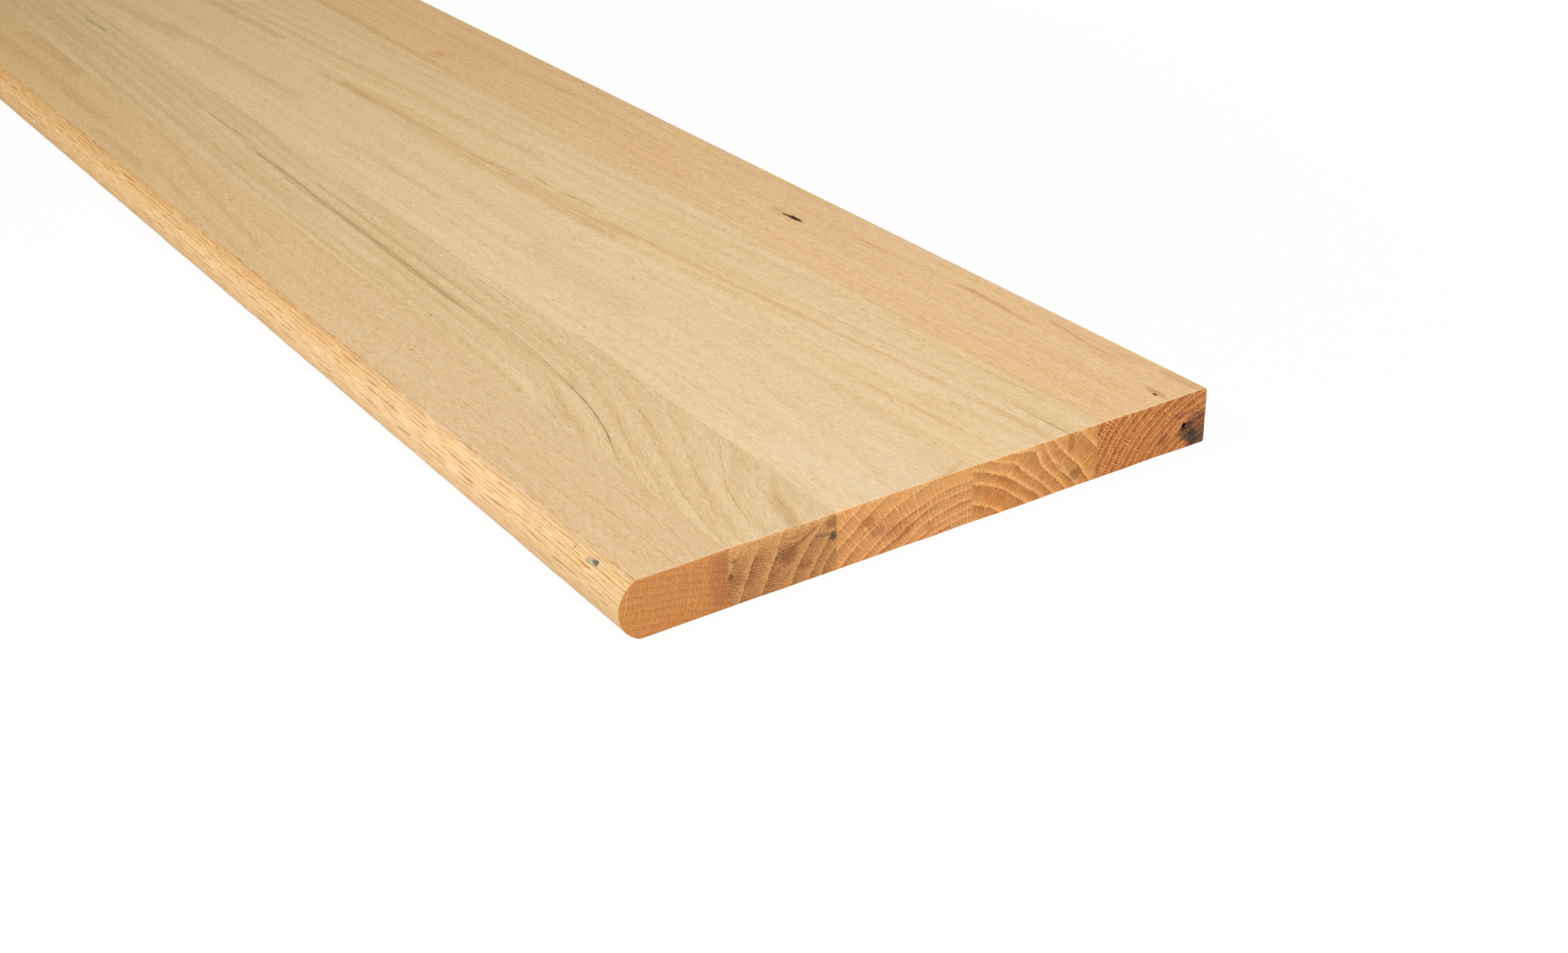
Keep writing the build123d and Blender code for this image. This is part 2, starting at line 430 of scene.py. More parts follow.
def lumps(tree, place, size, detail=1.0, rough=0.5, out=0):
    """A soft random pattern, 0 to 1, whose lumps measure size millimetres each way."""
    cells = add(tree, "VectorMath", "MULTIPLY", place, tuple(1 / s for s in size))
    return add(tree, "TexNoise", cells, 1.0, detail, rough, 2.0, 0.0, out=out)


def nearness(tree, place, centre, half):
    """1 at the centre of an egg shape and 0 at its skin."""
    away = add(tree, "VectorMath", "SUBTRACT", place, centre)
    scaled = add(tree, "VectorMath", "MULTIPLY", away, tuple(1 / h for h in half))
    distance = add(tree, "VectorMath", "LENGTH", scaled)
    return add(tree, "MapRange", distance, 1.0, 0.0, **SMOOTH), away


def wood_frame(tree, stave):
    """The wood's own coordinates in mm. Grain and rays give: along, out from the pith, round the rings."""
    growth = GROWTH[stave]
    near_corner = (-NEAR_X / MM, -NOSE_Y / MM, 0)
    board = add(tree, "Mapping", add(tree, "TexCoord", out=3), near_corner, None, (1 / MM,) * 3)
    along = add(tree, "SeparateXYZ", board)

    # The log's centre line bends, and every ring with it
    pith_y = curve(tree, along, [(x, y) for x, y, _ in growth["pith"]])
    pith_z = curve(tree, along, [(x, z) for x, _, z in growth["pith"]])
    pith = add(tree, "CombineXYZ", 0.0, pith_y, pith_z)

    # Grain swells round knots and wanders over a hand's length
    place = board
    for centre, half, push in SWIRLS[stave]:
        near, away = nearness(tree, board, centre, half)
        aside = add(tree, "VectorMath", "MULTIPLY", away, (0, 1, 1))
        aside = add(tree, "VectorMath", "NORMALIZE", aside)
        amount = add(tree, "Math", "MULTIPLY", near, -push)
        moved = add(tree, "VectorMath", "SCALE", aside, amount)
        place = add(tree, "VectorMath", "ADD", place, moved)
    for size, reach in (((180, 35, 35), 3.0), ((90, 9, 9), growth["wave"])):
        noise = lumps(tree, board, size, out=1)
        noise = add(tree, "VectorMath", "SUBTRACT", noise, (0.5, 0.5, 0.5))
        place = add(tree, "VectorMath", "MULTIPLY_ADD", noise, (0, reach, reach), place)

    spoke = add(tree, "VectorMath", "SUBTRACT", place, pith)
    spoke = add(tree, "VectorMath", "MULTIPLY", spoke, (0, 1, 1))
    radius = add(tree, "VectorMath", "LENGTH", spoke)
    for centre, half, swell in growth["bulges"]:
        near, _ = nearness(tree, board, centre, half)
        radius = add(tree, "Math", "MULTIPLY_ADD", near, -swell, radius)
    # The edge of a ring is ragged at the scale of its pores
    ragged = lumps(tree, board, (30, 1.1, 1.1))
    ragged = add(tree, "Math", "SUBTRACT", ragged, 0.5)
    radius = add(tree, "Math", "MULTIPLY_ADD", ragged, 1.3, radius)
    spoke_y = add(tree, "SeparateXYZ", spoke, out=1)
    spoke_z = add(tree, "SeparateXYZ", spoke, out=2)
    angle = add(tree, "Math", "ARCTAN2", spoke_y, spoke_z)
    middle = sum(growth["years"]) / len(growth["years"])
    round_ring = add(tree, "Math", "MULTIPLY", angle, middle)
    grain = add(tree, "CombineXYZ", along, radius, round_ring)

    # New rays start as the log widens, so their pitch is held within belts of 6 mm
    belt = lumps(tree, grain, (60, 3, 1.5), 0.0)
    belt = add(tree, "Math", "MULTIPLY_ADD", belt, 8.0, radius)
    belt = add(tree, "Math", "SNAP", belt, 6.0)
    ray_place = add(tree, "Math", "MULTIPLY", angle, belt)
    rays = add(tree, "CombineXYZ", along, radius, ray_place)
    return board, grain, rays


def year_phase(tree, stave, radius):
    """How far through its year it was laid down: 0 in the first spring pores, 1 in the last summer wood."""
    spring_width, spring_share = 1.3, 0.25
    points = []
    for year, start in enumerate(GROWTH[stave]["years"]):
        points += [(start, year), (start + spring_width, year + spring_share)]
    counted = curve(tree, radius, points, straight=True)
    return add(tree, "Math", "FRACT", counted)


def side_colour(tree, stave, board, grain, phase):
    """The long faces: pale, with faint bands of summer wood and short fine pores."""
    ground, late, pore = [srgb(code) for code in LOOKS[stave][:3]]
    along, across, up = [add(tree, "SeparateXYZ", board, out=k) for k in range(3)]
    top = add(tree, "MapRange", up, 23.0, 24.6, **SMOOTH)

    # Fine fibres and pores run along their own line, not along the rings
    drift = curve(tree, along, GROWTH[stave]["fibre"])
    lane = add(tree, "Math", "SUBTRACT", across, drift)
    fibre_place = add(tree, "CombineXYZ", along, lane, up)

    summer = add(tree, "MapRange", phase, 0.40, 1.0, **SMOOTH)
    tone = lumps(tree, fibre_place, (170, 7, 9), 2.0)
    tone = add(tree, "MapRange", tone, 0.30, 0.70, **SMOOTH)
    summer = add(tree, "Math", "MULTIPLY", summer, 0.45)
    shade = add(tree, "Math", "MULTIPLY_ADD", tone, 0.45, summer)
    colour = add(tree, "Mix", shade, ground, late, **PAINT)

    # Pores everywhere, 0.3 mm wide and some 4 mm long, and pale fibres between them
    strands = lumps(tree, fibre_place, (3.6, 0.30, 0.34))
    pores = add(tree, "MapRange", strands, 0.58, 0.68, **SMOOTH)
    patch = lumps(tree, fibre_place, (60, 5, 5))
    patch = add(tree, "MapRange", patch, 0.35, 0.65, 0.30, 0.68, **SMOOTH)
    dark_pores = add(tree, "Math", "MULTIPLY", pores, patch)
    colour = add(tree, "Mix", dark_pores, colour, pore, **PAINT)
    pale_strands = add(tree, "MapRange", strands, 0.42, 0.32, 0.0, 0.30, **SMOOTH)
    colour = add(tree, "Mix", pale_strands, colour, srgb(PALE_FIBRE), **PAINT)

    # Spring pores stand in rows: faint ones at the start of each year, and strong ones where drawn
    dashes = lumps(tree, grain, (6.0, 0.34, 0.34))
    rows = add(tree, "MapRange", phase, 0.17, 0.02, **SMOOTH)
    worn = add(tree, "Math", "MULTIPLY", rows, 0.14)
    for half, strength, points in PORE_ROWS[stave]:
        row = drawn_mark(tree, along, across, points, half)
        for share in (top, strength):
            row = add(tree, "Math", "MULTIPLY", row, share)
        worn = add(tree, "Math", "MAXIMUM", worn, row)
    edge = add(tree, "MapRange", worn, 0.0, 1.0, 0.72, 0.45)
    row_pores = add(tree, "Math", "SUBTRACT", dashes, edge)
    row_pores = add(tree, "MapRange", row_pores, 0.0, 0.09, 0.0, 0.70, **SMOOTH)
    seen = add(tree, "MapRange", worn, 0.02, 0.30, **SMOOTH)
    row_pores = add(tree, "Math", "MULTIPLY", row_pores, seen)
    colour = add(tree, "Mix", row_pores, colour, srgb(ROW_PORE), **PAINT)

    for half, strength, code, points in STREAKS[stave]:
        mark = drawn_mark(tree, along, across, points, half)
        broken = lumps(tree, fibre_place, (min(25, 22 * half), 0.8, 2.0))
        broken = add(tree, "MapRange", broken, 0.34, 0.60, 0.30, 1.0, **SMOOTH)
        for share in (broken, top, strength):
            mark = add(tree, "Math", "MULTIPLY", mark, share)
        colour = add(tree, "Mix", mark, colour, srgb(code), **PAINT)
    if stave == "nose_stave":
        colour, row_pores = nose_figure(tree, colour, row_pores, along, across, up)

    # Painted shade: the wood is tinted a little deeper in colour towards the far end, standing in for the
    # light that falls off there
    far = add(tree, "MapRange", along, -150.0, -900.0)
    far_shade_colour = NOSE["painted_far_shade"] if stave == "nose_stave" else FAR_SHADE
    colour = add(tree, "Mix", far, colour, srgb(far_shade_colour), **TINT)

    # Fine fibres, pale and dark by turns, drawn some 0.4 mm wide so that they still show
    fibres = lumps(tree, fibre_place, (5.0, 0.42, 0.42), 1.0, 0.6)
    light = add(tree, "MapRange", fibres, 0.25, 0.75, 0.91, 1.09)
    colour = add(tree, "VectorMath", "MULTIPLY", colour, light)
    depth = add(tree, "Math", "MAXIMUM", pores, row_pores)
    return colour, depth


def nose_figure(tree, colour, row_pores, along, across, up):
    """The nose was cut across the rays, and they brighten it. Open pores and flecks run along it."""
    bright = add(tree, "MapRange", up, 25.0, 23.6, **SMOOTH)
    colour = add(tree, "Mix", bright, colour, srgb(NOSE["ground"]), **PAINT)
    front = add(tree, "MapRange", across, 8.4, 7.2, **SMOOTH)

    # How many mm round the nose a place is from its front line
    nose_radius = 13.5
    turned = add(tree, "Math", "SUBTRACT", up, NOSE_LINE)
    turned = add(tree, "Math", "DIVIDE", turned, 1.02 * NOSE_LINE)
    turned = add(tree, "Math", "ARCSINE", turned)
    turned = add(tree, "Math", "MULTIPLY", turned, nose_radius)
    nose_place = add(tree, "CombineXYZ", along, turned, 0.0)

    # Rows of open pores, 2 mm apart, each row broken into dashes of 5 to 20 mm
    row_pitch = 2.0
    waver = lumps(tree, nose_place, (90, 4.0, 1.0), 2.0)
    turns = add(tree, "Math", "MULTIPLY", turned, math.tau / row_pitch)
    turns = add(tree, "Math", "MULTIPLY_ADD", waver, 14.0, turns)
    thin = add(tree, "Math", "SINE", turns)
    thin = add(tree, "MapRange", thin, 0.74, 0.96, **SMOOTH)
    split = lumps(tree, nose_place, (15.0, 1.1, 1.0), 3.0)
    split = add(tree, "MapRange", split, 0.44, 0.52, **SMOOTH)
    for share in (split, front):
        thin = add(tree, "Math", "MULTIPLY", thin, share)
    row_pores = add(tree, "Math", "MAXIMUM", row_pores, thin)
    thin = add(tree, "Math", "MULTIPLY", thin, 0.84)
    colour = add(tree, "Mix", thin, colour, srgb(NOSE["pore"]), **PAINT)

    # Pale and warm flecks: where they start and are full, how strong they get, and their colour
    fleck = lumps(tree, nose_place, (16, 0.7, 1.0), 2.0)
    for start, full, most, code in ((0.53, 0.68, 0.70, NOSE["pale"]), (0.46, 0.32, 0.60, NOSE["warm"])):
        amount = add(tree, "MapRange", fleck, start, full, 0.0, most, **SMOOTH)
        amount = add(tree, "Math", "MULTIPLY", amount, front)
        colour = add(tree, "Mix", amount, colour, srgb(code), **PAINT)

    # It is deeper in colour at its upper arris, more so further along, and near its end
    arris = add(tree, "MapRange", up, 18.0, 23.5, **SMOOTH)
    beyond = add(tree, "MapRange", along, -80.0, -300.0, 0.15, 1.0, **SMOOTH)
    for share in (front, beyond):
        arris = add(tree, "Math", "MULTIPLY", arris, share)
    colour = add(tree, "Mix", arris, colour, srgb(NOSE["arris_tint"]), **TINT)
    nearest = add(tree, "MapRange", along, -130.0, -40.0, **SMOOTH)
    nearest = add(tree, "Math", "MULTIPLY", nearest, front)
    colour = add(tree, "Mix", nearest, colour, srgb(NOSE["near_tint"]), **TINT)
    return colour, row_pores


def drawn_mark(tree, along, across, points, half, run=12.0):
    """1 on a line drawn over a face and 0 beyond its half width, fading in over its first and last run."""
    line = curve(tree, along, points)
    away = add(tree, "Math", "SUBTRACT", across, line)
    away = add(tree, "Math", "ABSOLUTE", away)
    mark = add(tree, "MapRange", away, half * 1.3, half * 0.3, **SMOOTH)
    first, last = points[0][0], points[-1][0]
    fade = min(run, (last - first) / 3)
    start = add(tree, "MapRange", along, first, first + fade, **SMOOTH)
    mark = add(tree, "Math", "MULTIPLY", mark, start)
    if last != 0:
        end = add(tree, "MapRange", along, last, last - fade, **SMOOTH)
        mark = add(tree, "Math", "MULTIPLY", mark, end)
    return mark


def end_colour(tree, stave, board, grain, rays, phase):
    """The sawn end: orange brown, streaked by rays, with a pale porous band at the start of each year."""
    colour, dark, pale, pit, ray = [srgb(code) for code in LOOKS[stave][3:]]
    cut = dict(zip(SAWN_PARTS, SAWN[stave]))
    spring = add(tree, "MapRange", phase, cut["fade"], 0.08, **SMOOTH)
    line = add(tree, "MapRange", phase, 0.91, 1.0, **SMOOTH)
    summer = add(tree, "MapRange", phase, 0.35, 1.0, **SMOOTH)
    cloud = lumps(tree, grain, (200, 8, 12), 2.0)
    cloud = add(tree, "MapRange", cloud, 0.30, 0.70, 0.25, 1.0, **SMOOTH)
    uneven = lumps(tree, grain, (90, 1.2, 3.0), 2.0)
    uneven = add(tree, "MapRange", uneven, 0.25, 0.60, 0.40, 1.0, **SMOOTH)

    # Clouds of dark summer wood, the year's pale band, and the dark last line of the year before
    for amount, shares, wood in (
        (summer, (cloud, cut["late"]), dark),
        (spring, (uneven, cut["spring"]), pale),
        (line, (uneven, cut["line"]), dark),
    ):
        for share in shares:
            amount = add(tree, "Math", "MULTIPLY", amount, share)
        colour = add(tree, "Mix", amount, colour, wood, **PAINT)

    # The top edge was rubbed paler
    up = add(tree, "SeparateXYZ", board, out=2)
    glow = add(tree, "MapRange", up, 15.0, 25.0, 0.0, cut["glow"], **SMOOTH)
    glow = add(tree, "Math", "MULTIPLY", glow, uneven)
    colour = add(tree, "Mix", glow, colour, pale, **PAINT)

    colour = ray_strokes(tree, colour, cut["fine"], grain, rays, dark, pale)

    # Pores: dots in the pale band, and short files of them along the rays beyond it
    width, reach = cut["pore"]
    dots = lumps(tree, rays, (30, reach, width))
    crowd = add(tree, "MapRange", spring, 0.0, 1.0, cut["scattered"], cut["crowded"])
    pores = add(tree, "Math", "SUBTRACT", dots, crowd)
    pores = add(tree, "MapRange", pores, 0.0, 0.08, 0.0, 0.80, **SMOOTH)
    colour = add(tree, "Mix", pores, colour, pit, **PAINT)

    colour = bright_rays(tree, colour, cut["broad"], grain, ray)
    return end_marks(tree, stave, colour, board, grain), pores


def ray_strokes(tree, colour, fine, grain, rays, dark, pale):
    """Fine ray strokes at an even pitch, which waver a little, and come and go."""
    # On the real board they are some 0.4 mm apart, and here 0.6 mm or more, so that each still shows
    pitch, length, strength = fine
    waver = lumps(tree, grain, (40, 3.0, 1.6))
    turns = add(tree, "Math", "MULTIPLY", add(tree, "SeparateXYZ", rays, out=2), math.tau / pitch)
    turns = add(tree, "Math", "MULTIPLY_ADD", waver, 9.0, turns)
    stroke = add(tree, "Math", "SINE", turns)
    force = lumps(tree, rays, (40, length, 0.8))
    force = add(tree, "MapRange", force, 0.35, 0.65, 0.25 * strength, strength, **SMOOTH)
    for crest, wood in ((1.0, dark), (-1.0, pale)):
        amount = add(tree, "MapRange", stroke, 0.0, crest)
        amount = add(tree, "Math", "MULTIPLY", amount, force)
        colour = add(tree, "Mix", amount, colour, wood, **PAINT)
    return colour


def bright_rays(tree, colour, broad, grain, ray):
    """Bright rays stand further apart, unevenly, and come and go."""
    pitch, strength = broad
    spread = lumps(tree, grain, (60, 30, 3 * pitch))
    turns = add(tree, "Math", "MULTIPLY", add(tree, "SeparateXYZ", grain, out=2), math.tau / pitch)
    turns = add(tree, "Math", "MULTIPLY_ADD", spread, 16.0, turns)
    thin = add(tree, "Math", "SINE", turns)
    thin = add(tree, "MapRange", thin, 1 - 0.25 / pitch, 1.0)
    here = lumps(tree, grain, (80, 5.0, 3.0))
    here = add(tree, "MapRange", here, 0.38, 0.60, 0.15 * strength, strength, **SMOOTH)
    thin = add(tree, "Math", "MULTIPLY", thin, here)
    return add(tree, "Mix", thin, colour, ray, **PAINT)


def end_marks(tree, stave, colour, board, grain):
    """Stains, which leave the figure of the wood showing, and cracks and other lines on the sawn end."""
    across, up = [add(tree, "SeparateXYZ", board, out=k) for k in (1, 2)]
    rough = lumps(tree, grain, (40, 1.6, 0.7), 2.0)
    for (y, z), half, strength, code in STAINS[stave]:
        near, _ = nearness(tree, board, (0, y, z), (40, *half))
        near = add(tree, "Math", "ADD", near, rough)
        near = add(tree, "MapRange", near, 0.50, 1.15, 0.0, strength, **SMOOTH)
        colour = add(tree, "Mix", near, colour, srgb(code), **TINT)
    for half, strength, code, points in CRACKS[stave]:
        mark = drawn_mark(tree, across, up, points, half, 1.5)
        broken = add(tree, "MapRange", rough, 0.30, 0.60, 0.35, strength, **SMOOTH)
        mark = add(tree, "Math", "MULTIPLY", mark, broken)
        colour = add(tree, "Mix", mark, colour, srgb(code), **PAINT)
    return colour


def oak(stave):
    """Bare sanded oak: matt, pale tan along the grain, and darker orange brown on the sawn end grain."""
    material = bpy.data.materials.new(f"sanded_oak_{stave}")
    material.use_nodes = True
    tree = material.node_tree
    tree.nodes.clear()
    board, grain, rays = wood_frame(tree, stave)
    phase = year_phase(tree, stave, add(tree, "SeparateXYZ", grain, out=1))

    side, side_pores = side_colour(tree, stave, board, grain, phase)
    end, end_pores = end_colour(tree, stave, board, grain, rays, phase)
    facing = add(tree, "SeparateXYZ", add(tree, "TexCoord", out=1))
    facing = add(tree, "Math", "ABSOLUTE", facing)
    sawn = add(tree, "MapRange", facing, 0.45, 0.80, **SMOOTH)
    colour = add(tree, "Mix", sawn, side, end, **PAINT)
    side_depth = add(tree, "Math", "MULTIPLY", side_pores, 0.3)
    pores = add(tree, "Mix", sawn, side_depth, end_pores)

    for centre, half, strength, code in SPOTS[stave]:
        near, _ = nearness(tree, board, centre, tuple(h * 1.5 for h in half))
        rough = lumps(tree, board, (4, 0.9, 0.9), 2.0)
        rough = add(tree, "MapRange", rough, 0.3, 0.7, -0.25, 0.25)
        near = add(tree, "Math", "ADD", near, rough)
        near = add(tree, "MapRange", near, 0.26, 0.70, 0.0, strength, **SMOOTH)
        colour = add(tree, "Mix", near, colour, srgb(code), **PAINT)

    # Pores are 0.05 mm deep. Dry sanded wood is matt, with hardly any gloss
    relief = add(tree, "Math", "MULTIPLY", pores, -1.0)
    bump = add(tree, "Bump", 0.5, 0.05 * MM, 1.0, relief)
    metallic, roughness, gloss = 0.0, 0.70, 0.07
    surface = add(tree, "BsdfPrincipled", colour, metallic, roughness).node
    surface.inputs["Specular IOR Level"].default_value = gloss
    tree.links.new(bump, surface.inputs["Normal"])
    add(tree, "OutputMaterial", surface.outputs[0])
    return material


def spaced(start, end, step, extra=()):
    """Grid lines from start to end, about a step apart, with finer ones where extra asks for them."""
    lines = list(np.linspace(start, end, max(2, round((end - start) / step) + 1)))
    for low, high, fine in extra:
        low, high = max(low, start), min(high, end)
        if low < high:
            lines = [v for v in lines if not low - fine < v < high + fine]
            lines += list(np.linspace(low, high, round((high - low) / fine) + 1))
    inner = {round(float(v), 4) for v in lines if start + 0.01 < v < end - 0.01}
    return sorted(inner | {start, end})


def blank(stave):
    """A square-edged stave as a closed box of quads, with grid lines close together where detail comes."""
    low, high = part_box(stave)
    front, back = (low[1] - NOSE_Y) / MM, (high[1] - NOSE_Y) / MM
    pits = [(centre, size) for centre, size, _ in PITS if front <= centre[1] <= back]
    fine_x, fine_y, fine_z = [
        [(c[k] - 1.2 * s[k], c[k] + 1.2 * s[k], s[k] / 6) for c, s in pits] for k in range(3)
    ]
    step_x, step_y, eased = 5.0, 1.6, 4
    round_over = (0, 0.05, 0.15, 0.35, 0.6, 0.9, 1.3, 1.8, 2.5)
    xs = spaced(-LENGTH + eased, -eased, step_x, [f for f in fine_x if f[1] < -eased])
    xs = [-LENGTH + d for d in round_over] + xs + [-d for d in reversed(round_over)]
    # The knot hole in the sawn end needs a few more grid lines
    near = [f for f in fine_x if f[1] > -eased and f[0] < 0]
    for _, _, fine in near:
        xs = sorted(set(xs) | {-1.0 - fine * k for k in range(5)})
    ys = spaced(front, back, step_y, fine_y)

    # Levels stand as close together as the nose arcs need, and closer at the back arrises
    half = THICK / 2
    steepest = math.radians(64)
    arc = [half + half * math.sin(steepest * t) / math.sin(steepest) for t in np.linspace(-1, 1, 25)]
    arc = arc[1:-1]
    if stave == "back_stave":
        drops = [BACK_ARRIS * (1 - math.cos(math.radians(a))) for a in (30, 50, 70, 90)]
        clear = 1.4
        arc = [v for v in arc if clear < v < THICK - clear] + drops + [THICK - d for d in drops]
    zs = set(arc) | {0.0, THICK}
    for start, end, fine in fine_z:
        if 0 < start and end < THICK:
            zs = {v for v in zs if not start - fine < v < end + fine} | set(np.arange(start, end, fine))
    return box_of_quads(f"{stave}_blank", xs, ys, sorted(zs))


def box_of_quads(name, xs, ys, zs):
    """A closed box with grid lines at the given places, its faces outwards and every corner shared."""
    grid = np.stack(np.meshgrid(xs, ys, zs, indexing="ij"), axis=-1)
    skin = np.ones(grid.shape[:3], bool)
    skin[1:-1, 1:-1, 1:-1] = False
    number = (np.cumsum(skin.ravel()) - 1).reshape(skin.shape)
    quads = []
    for axis, end in product(range(3), (0, -1)):
        sheet = np.take(number, end, axis=axis)
        corners = [sheet[:-1, :-1], sheet[1:, :-1], sheet[1:, 1:], sheet[:-1, 1:]]
        quad = np.stack(corners, axis=-1).reshape(-1, 4)
        outwards = (end == -1) != (axis == 1)
        quads.append(quad if outwards else quad[:, ::-1])
    mesh = bpy.data.meshes.new(name)
    mesh.from_pydata(grid[skin].tolist(), [], np.concatenate(quads).tolist())
    piece = bpy.data.objects.new(name, mesh)
    bpy.context.collection.objects.link(piece)
    return piece


def rounded(tree, distance, radius):
    """How far a face draws in at a distance from an edge that is rounded to a quarter circle."""
    lean = add(tree, "MapRange", distance, 0.0, radius, 1.0, 0.0)
    lean = add(tree, "Math", "MULTIPLY", lean, lean)
    lean = add(tree, "Math", "SUBTRACT", 1.0, lean)
    lean = add(tree, "Math", "SQRT", lean)
    lean = add(tree, "Math", "SUBTRACT", 1.0, lean)
    return add(tree, "Math", "MULTIPLY", lean, radius)


def moulding():
    """Geometry nodes that shape a square blank: nose, arrises, hand-sanded wander, knots and saw marks."""
    tree = bpy.data.node_groups.new("stave_moulding", "GeometryNodeTree")
    face = tree.interface
    for name in ("Blank", "Front", "Back", "Nose", "Rear", "Wood"):
        kind = {"Blank": "Geometry", "Wood": "Material"}.get(name, "Float")
        face.new_socket(name, in_out="INPUT", socket_type=f"NodeSocket{kind}")
    face.new_socket("Stave", in_out="OUTPUT", socket_type="NodeSocketGeometry")
    source = add(tree, "NodeGroupInput").node
    front, back, nose, rear = [source.outputs[n] for n in ("Front", "Back", "Nose", "Rear")]
    place = add(tree, "GeometryNodeInputPosition")
    x, y, z = [add(tree, "SeparateXYZ", place, out=k) for k in range(3)]

    # Near each sawn end the section shrinks by a quarter circle, which eases every arris there.
    # The top one was sanded by hand, so it is crisp in one place and well rounded in the next
    sanded = lumps(tree, place, (60, 26, 17), 2.0)
    sanded = add(tree, "MapRange", sanded, 0.32, 0.68, *END_ARRIS)
    to_far = add(tree, "Math", "ADD", x, LENGTH)
    to_near = add(tree, "Math", "MULTIPLY", x, -1.0)
    to_end = add(tree, "Math", "MINIMUM", to_far, to_near)
    inset = rounded(tree, to_end, END_ARRIS[0])
    lowered = rounded(tree, to_end, sanded)
    lowered = add(tree, "Math", "SUBTRACT", THICK, lowered)
    height = add(tree, "MapRange", z, 0.0, THICK, inset, lowered)

    # The nose: two arcs that share an upright tangent, the upper one wandering as the sander did
    rise = add(tree, "Math", "SUBTRACT", height, NOSE_LINE)
    above = add(tree, "Math", "GREATER_THAN", rise, 0.0)
    halves = ((NOSE_LINE, BOTTOM_SETBACK), (THICK - NOSE_LINE, TOP_SETBACK))
    radii = [(h * h + s * s) / (2 * s) for h, s in halves]
    radius = add(tree, "MapRange", above, 0.0, 1.0, *radii)
    drop = add(tree, "Math", "MULTIPLY", radius, radius)
    square = add(tree, "Math", "MULTIPLY", rise, rise)
    drop = add(tree, "Math", "SUBTRACT", drop, square)
    drop = add(tree, "Math", "SQRT", drop)
    drop = add(tree, "Math", "SUBTRACT", radius, drop)
    sweep = add(tree, "CombineXYZ", x, 0.0, 0.0)
    wander = lumps(tree, sweep, (38, 1, 1), 2.0)
    wander = add(tree, "MapRange", wander, 0.25, 0.75, 0.91, 1.09)
    drop = add(tree, "Math", "MULTIPLY", drop, wander)
    drop = add(tree, "Math", "ADD", drop, inset)
    drop = add(tree, "Math", "MULTIPLY", drop, nose)
    new_front = add(tree, "Math", "ADD", front, drop)

    # The back: a small quarter circle top and bottom
    high = add(tree, "Math", "SUBTRACT", height, THICK / 2)
    high = add(tree, "Math", "ABSOLUTE", high)
    to_face = add(tree, "Math", "SUBTRACT", THICK / 2, high)
    turn = rounded(tree, to_face, BACK_ARRIS)
    turn = add(tree, "Math", "ADD", turn, inset)
    turn = add(tree, "Math", "MULTIPLY", turn, rear)
    new_back = add(tree, "Math", "SUBTRACT", back, turn)
    across = add(tree, "MapRange", y, front, back, new_front, new_back)

    # The crosscut saw wandered a little, so the near end is not quite flat
    cut = add(tree, "CombineXYZ", 0.0, y, z)
    cut = lumps(tree, cut, (1, 34, 30), 2.0)
    cut = add(tree, "MapRange", cut, 0.3, 0.7, 0.0, 0.6)
    close = add(tree, "MapRange", to_near, 30.0, 0.0, **SMOOTH)
    cut = add(tree, "Math", "MULTIPLY", cut, close)
    along = add(tree, "Math", "SUBTRACT", x, cut)
    moved = add(tree, "CombineXYZ", along, across, height)

    # Knots are sunk below the sanded face
    for centre, half, depth in PITS:
        near, _ = nearness(tree, moved, centre, half)
        hollow = add(tree, "VectorMath", "SCALE", depth, near)
        moved = add(tree, "VectorMath", "ADD", moved, hollow)

    # Board millimetres become metres in the frame
    metres = add(tree, "VectorMath", "MULTIPLY_ADD", moved, (MM, MM, MM), (NEAR_X, NOSE_Y, 0))
    shaped = add(tree, "GeometryNodeSetPosition", source.outputs["Blank"], None, metres)
    smooth = add(tree, "GeometryNodeSetShadeSmooth", shaped)
    bend = add(tree, "GeometryNodeInputMeshEdgeAngle")
    sharpest_smooth = math.radians(21)
    crisp = add(tree, "Math", "GREATER_THAN", bend, sharpest_smooth)
    edged = add(tree, "GeometryNodeSetShadeSmooth", smooth, crisp, False, domain="EDGE")
    real = add(tree, "GeometryNodeRealizeInstances", edged)
    dressed = add(tree, "GeometryNodeSetMaterial", real, None, source.outputs["Wood"])
    add(tree, "NodeGroupOutput", dressed)
    return tree


def stave_piece(stave, tree, wood):
    """Shapes one stave from its blank and lays it over its solid."""
    piece = blank(stave)
    low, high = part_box(stave)
    sizes = {
        "Front": (low[1] - NOSE_Y) / MM,
        "Back": (high[1] - NOSE_Y) / MM,
        "Nose": float(stave == STAVES[0]),
        "Rear": float(stave == STAVES[-1]),
        "Wood": wood,
    }
    modifier = piece.modifiers.new("moulding", "NODES")
    modifier.node_group = tree
    for item in tree.interface.items_tree:
        if item.in_out == "INPUT" and item.name in sizes:
            modifier[item.identifier] = sizes[item.name]
    shaped = piece.evaluated_get(bpy.context.evaluated_depsgraph_get())
    mesh = bpy.data.meshes.new_from_object(shaped)
    mesh.name = f"{stave}_wood"
    bpy.data.objects.remove(piece)
    result = bpy.data.objects.new(f"{stave}_wood", mesh)
    bpy.context.collection.objects.link(result)
    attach(result, "root")
    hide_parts(stave)


def camera():
    """The photograph's view: from above the near end, down along the nose."""
    lens = bpy.data.cameras.new("camera")
    lens.sensor_width = 36.0
    lens.lens = FOCAL_LENGTH
    lens.clip_start = 0.05
    eye = bpy.data.objects.new("camera", lens)
    eye.location = (NEAR_X + EYE_PLACE[0], NOSE_Y + EYE_PLACE[1], EYE_PLACE[2])
    eye.rotation_euler = Euler([math.radians(a) for a in EYE_TURN])
    bpy.context.collection.objects.link(eye)
    bpy.context.scene.camera = eye


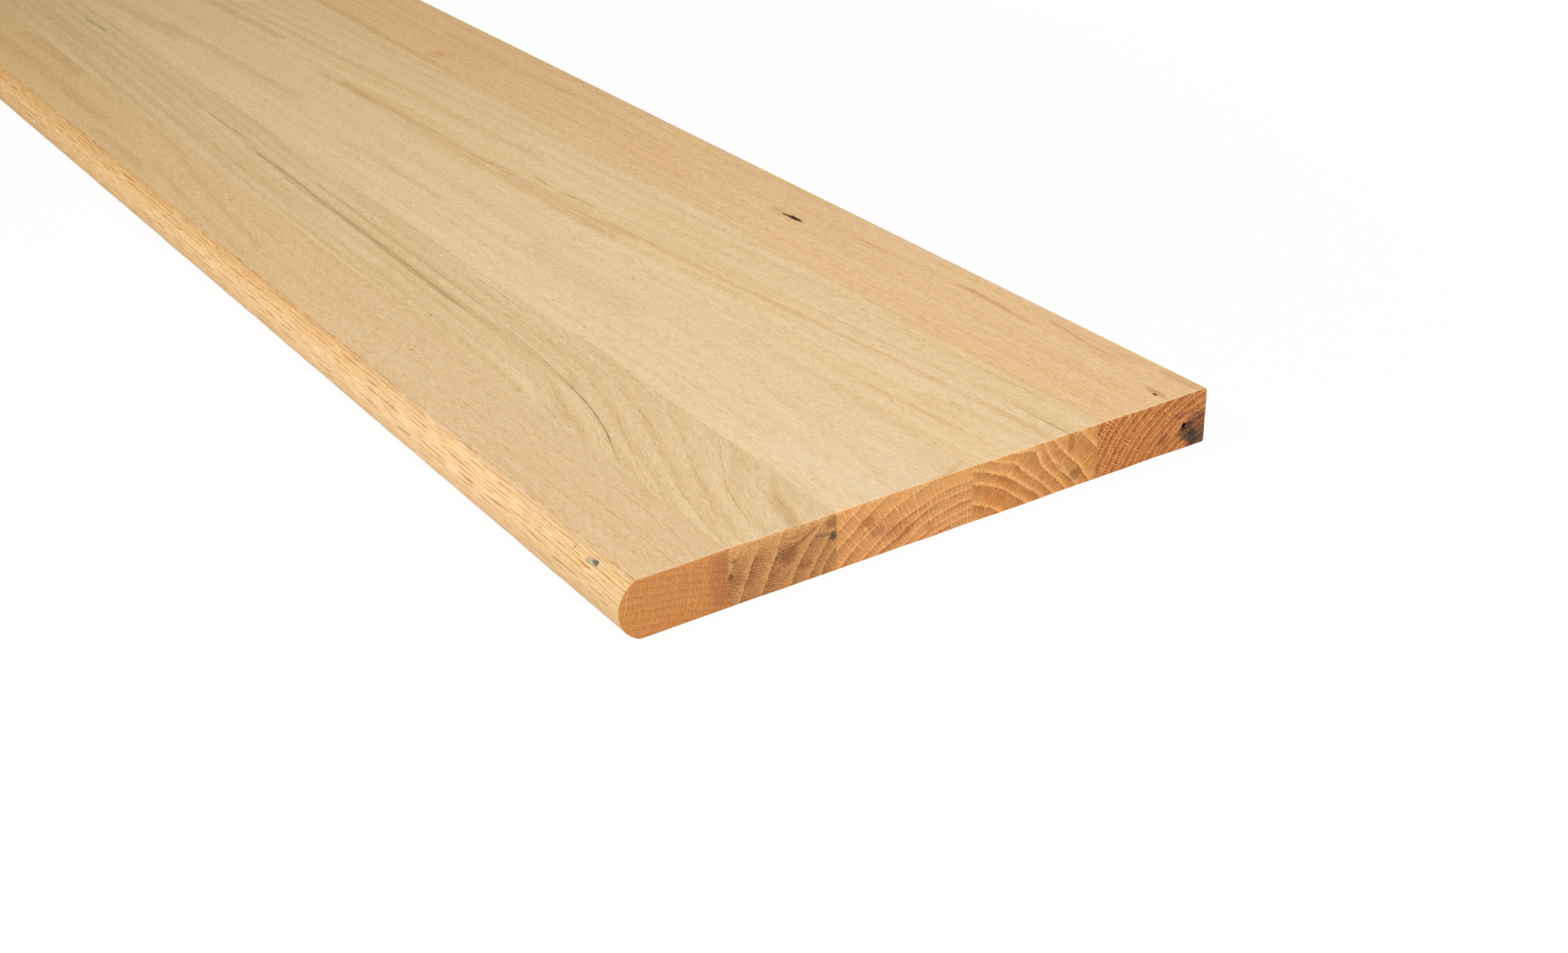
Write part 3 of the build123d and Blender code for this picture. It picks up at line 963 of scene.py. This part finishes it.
def softbox(name, place, target, size, power):
    """A square white softbox that faces its target."""
    lamp = bpy.data.lights.new(name, "AREA")
    lamp.size = size
    lamp.energy = power
    holder = bpy.data.objects.new(name, lamp)
    holder.location = place
    aim = Vector(target) - Vector(place)
    holder.rotation_euler = aim.to_track_quat("-Z", "Y").to_euler()
    bpy.context.collection.objects.link(holder)


def sees_backdrop(tree):
    """1 for the rays that show the plain white backdrop: from the camera, and by way of gloss or glass."""
    path = add(tree, "LightPath").node
    kinds = [path.outputs[f"Is {kind} Ray"] for kind in ("Camera", "Glossy", "Transmission")]
    either = add(tree, "Math", "MAXIMUM", kinds[0], kinds[1])
    return add(tree, "Math", "MAXIMUM", either, kinds[2])


def stage():
    """A white floor that is almost pure white for the camera but keeps a soft shadow."""
    mesh = bpy.data.meshes.new("floor")
    reach = 12.0
    corners = [(-reach, -reach, 0), (reach, -reach, 0), (reach, reach, 0), (-reach, reach, 0)]
    mesh.from_pydata(corners, [], [(0, 1, 2, 3)])
    floor = bpy.data.objects.new("floor", mesh)
    bpy.context.collection.objects.link(floor)
    material = bpy.data.materials.new("white_paper_floor")
    material.use_nodes = True
    tree = material.node_tree
    tree.nodes.clear()
    matt = add(tree, "BsdfDiffuse", (0.95, 0.95, 0.95, 1))
    white = add(tree, "Emission", (1, 1, 1, 1), 1.0)
    # The camera sees paper white, and round the board a twentieth of the real floor with its shadow
    away = add(tree, "VectorMath", "MULTIPLY", add(tree, "TexCoord", out=3), (0.55, 1.0, 1.0))
    away = add(tree, "VectorMath", "LENGTH", away)
    share = add(tree, "MapRange", away, 0.25, 0.75, 0.95, 1.0, **SMOOTH)
    share = add(tree, "Math", "MULTIPLY", sees_backdrop(tree), share)
    mixed = add(tree, "MixShader", share, matt, white)
    add(tree, "OutputMaterial", mixed)
    mesh.materials.append(material)


def world():
    """Even white surroundings, which the camera sees as pure white."""
    room_light = 0.36
    scene = bpy.context.scene
    scene.world = bpy.data.worlds.new("world")
    scene.world.use_nodes = True
    tree = scene.world.node_tree
    tree.nodes.clear()
    strength = add(tree, "MapRange", sees_backdrop(tree), 0.0, 1.0, room_light, 1.0)
    light = add(tree, "Background", (1, 1, 1, 1), strength)
    add(tree, "OutputWorld", light)


camera()
stage()
world()
softbox("key", place=(0.6, -0.75, 1.15), target=(0.4, 0, 0), size=0.9, power=12.8)
softbox("end_light", place=(2.2, 0.0, 0.6), target=(0.6, 0, 0), size=0.6, power=9.5)
shape = moulding()
for stave in STAVES:
    stave_piece(stave, shape, oak(stave))

bpy.context.scene.view_settings.view_transform = "Standard"
